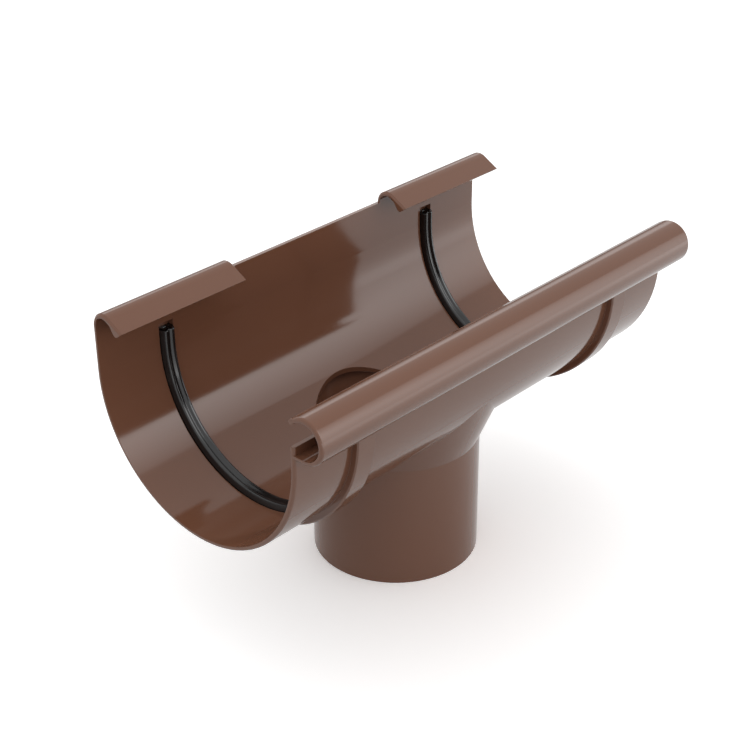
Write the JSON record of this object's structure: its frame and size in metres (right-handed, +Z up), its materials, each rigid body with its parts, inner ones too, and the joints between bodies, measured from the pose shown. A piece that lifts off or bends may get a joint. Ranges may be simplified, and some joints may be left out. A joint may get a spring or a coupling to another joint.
{
  "type": "gutter outlet",
  "caption": "Half-round plastic gutter outlet with a front bead, rear hooks, rubber seals in raised rings and a flared round spigot.",
  "frame": {"origin": "centre of the spigot's bottom rim, on the floor that the outlet stands on", "axes": "+X along the gutter, +Y to the rear hooks on the wall side, +Z up"},
  "size_m": [0.281, 0.1554, 0.1694],
  "materials": {
    "moulded_pvc": "smooth injection-moulded brown rigid PVC",
    "seal_rubber": "smooth black EPDM seal"
  },
  "bodies": {
    "root": {"outlet_body": "moulded_pvc", "gasket_left": "seal_rubber", "gasket_right": "seal_rubber"}
  },
  "joints": []
}
